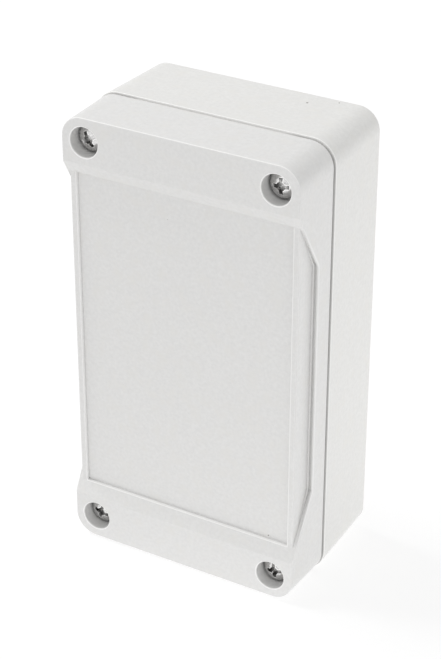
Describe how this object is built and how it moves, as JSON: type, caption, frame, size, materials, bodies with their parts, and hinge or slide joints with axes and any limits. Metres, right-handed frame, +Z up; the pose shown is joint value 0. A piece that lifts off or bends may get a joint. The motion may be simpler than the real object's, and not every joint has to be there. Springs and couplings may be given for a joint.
{
  "type": "plastic project box",
  "caption": "Flat rectangular sealed plastic enclosure with a deep tray, a screw-down lid with a sunken label panel, side grip reliefs and corner counterbores.",
  "frame": {"origin": "centre of the box's footprint at its lowest point, standing on a short end", "axes": "+Z up along the long side, -Y out of the lid's front, +Y out of the flat back, X across"},
  "size_m": [0.0654, 0.0398, 0.12],
  "materials": {
    "base_plastic": "satin moulded plastic, light warm grey",
    "lid_plastic": "satin moulded plastic, light grey",
    "seal_rubber": "matte",
    "screw_steel": "bright, nickel plated",
    "insert_brass": "turned"
  },
  "bodies": {
    "case": {"base": "base_plastic", "gasket": "seal_rubber", "insert_1": "insert_brass", "insert_2": "insert_brass", "insert_3": "insert_brass", "insert_4": "insert_brass"},
    "cover": {"lid": "lid_plastic"},
    "screw_1": {"lid_screw_1": "screw_steel"},
    "screw_2": {"lid_screw_2": "screw_steel"},
    "screw_3": {"lid_screw_3": "screw_steel"},
    "screw_4": {"lid_screw_4": "screw_steel"}
  },
  "joints": [
    {"name": "lid_lift", "type": "slide", "parent": "case", "child": "cover", "axis": [0, -1, 0], "range_m": [0, 0.04]},
    {"name": "screw_1_turn", "type": "hinge", "parent": "cover", "child": "screw_1", "pos_m": [-0.02583, -0.0155, 0.1131], "axis": [0, 1, 0], "continuous": true},
    {"name": "screw_2_turn", "type": "hinge", "parent": "cover", "child": "screw_2", "pos_m": [0.02583, -0.0155, 0.1131], "axis": [0, 1, 0], "continuous": true},
    {"name": "screw_3_turn", "type": "hinge", "parent": "cover", "child": "screw_3", "pos_m": [-0.02583, -0.0155, 0.0069], "axis": [0, 1, 0], "continuous": true},
    {"name": "screw_4_turn", "type": "hinge", "parent": "cover", "child": "screw_4", "pos_m": [0.02583, -0.0155, 0.0069], "axis": [0, 1, 0], "continuous": true}
  ]
}
